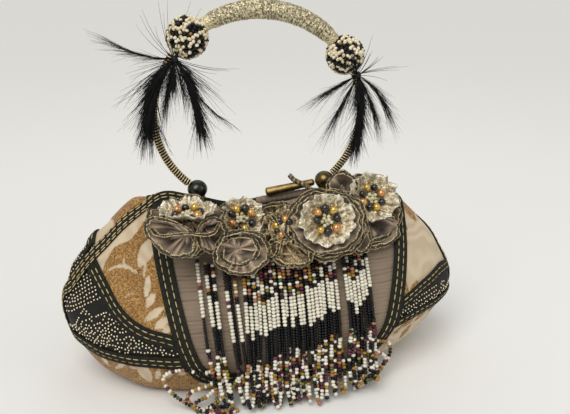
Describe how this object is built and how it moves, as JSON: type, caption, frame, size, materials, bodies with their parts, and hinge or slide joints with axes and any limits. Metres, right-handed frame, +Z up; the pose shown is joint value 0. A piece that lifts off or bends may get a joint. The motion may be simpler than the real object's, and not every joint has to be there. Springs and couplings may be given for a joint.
{
  "type": "beaded handbag",
  "caption": "A small evening handbag of pin-tucked cloth and tapestry with black dotted wedges, cloth rosettes, a bead fringe and a feathered ring handle.",
  "frame": {"origin": "middle of the flat part of the base, on the surface that the bag stands on", "axes": "+X along the bag's length to its right-hand tip, -Y out of the front with the rosettes and fringe, +Z up through the handle"},
  "size_m": [0.2584, 0.1234, 0.2295],
  "materials": {
    "tucked_cloth": "matte",
    "tapestry": "matte",
    "studded_cloth": "matte",
    "webbing": "matte",
    "wound_wire": "satin",
    "dark_pearl": "gloss",
    "seed_beads": "gloss",
    "metallic_cloth": "satin",
    "feather": "matte",
    "frill_cloth": "matte",
    "pearls": "gloss",
    "glass_beads": "gloss",
    "brass": "satin",
    "twisted_cord": "matte"
  },
  "bodies": {
    "root": {"panel_front": "tucked_cloth", "panel_back": "tucked_cloth", "panel_trim_front": "webbing", "panel_trim_back": "webbing", "lip_binding_front": "webbing", "lip_binding_back": "webbing", "shoulder_front_left": "tapestry", "shoulder_back_left": "tapestry", "studded_front_left": "studded_cloth", "studded_back_left": "studded_cloth", "wedge_trim_upper_front_left": "webbing", "wedge_trim_upper_back_left": "webbing", "wedge_trim_lower_front_left": "webbing", "wedge_trim_lower_back_left": "webbing", "end_trim_left": "webbing", "shoulder_front_right": "tapestry", "shoulder_back_right": "tapestry", "studded_front_right": "studded_cloth", "studded_back_right": "studded_cloth", "wedge_trim_upper_front_right": "webbing", "wedge_trim_upper_back_right": "webbing", "wedge_trim_lower_front_right": "webbing", "wedge_trim_lower_back_right": "webbing", "end_trim_right": "webbing", "base_panel": "tapestry", "handle_grip": "metallic_cloth", "beaded_ball_left": "seed_beads", "handle_leg_left": "wound_wire", "socket_left": "dark_pearl", "plume_left": "feather", "beaded_ball_right": "seed_beads", "handle_leg_right": "wound_wire", "socket_right": "dark_pearl", "plume_right": "feather", "rosette_1_frill": "frill_cloth", "rosette_1_cup": "metallic_cloth", "rosette_1_cluster": "pearls", "rosette_2_frill": "frill_cloth", "rosette_2_cup": "metallic_cloth", "rosette_2_cluster": "pearls", "rosette_3_frill": "frill_cloth", "rosette_3_cup": "metallic_cloth", "rosette_3_cluster": "pearls", "rosette_4_frill": "frill_cloth", "rosette_4_cup": "metallic_cloth", "rosette_4_cluster": "pearls", "rosette_5_frill": "frill_cloth", "rosette_5_cup": "metallic_cloth", "rosette_5_cluster": "pearls", "bead_fringe": "glass_beads", "toggle_bar": "brass", "toggle_cord": "twisted_cord"}
  },
  "joints": []
}
